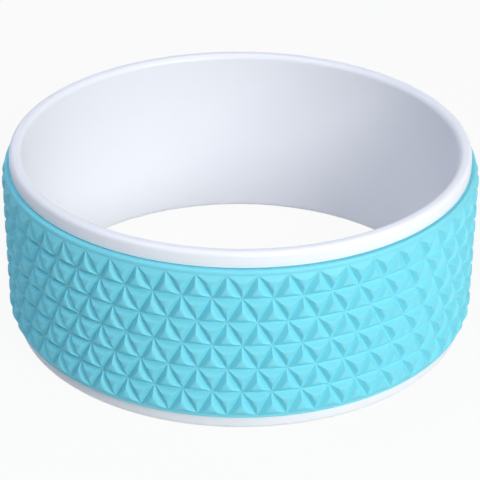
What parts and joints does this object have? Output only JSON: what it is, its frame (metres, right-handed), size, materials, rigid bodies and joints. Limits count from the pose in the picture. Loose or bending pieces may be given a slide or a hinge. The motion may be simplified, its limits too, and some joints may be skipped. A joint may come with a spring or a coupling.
{
  "type": "yoga wheel",
  "caption": "Wide rigid hoop with rounded rims and a soft cover of raised triangular studs round its outside, for stretching and rolling the back.",
  "frame": {"origin": "on the wheel's axis, in the plane of the rim that the wheel lies on", "axes": "+Z along the wheel's axis, upwards as the wheel lies on its side; -Y points through a corner of the stud pattern"},
  "size_m": [0.33, 0.3299, 0.13],
  "materials": {
    "hoop_plastic": "smooth satin white moulded plastic",
    "glue_film": "clear tacky film",
    "cover_foam": "matt turquoise soft moulded elastomer"
  },
  "bodies": {
    "root": {"hoop": "hoop_plastic", "adhesive": "glue_film", "cover": "cover_foam"}
  },
  "joints": []
}
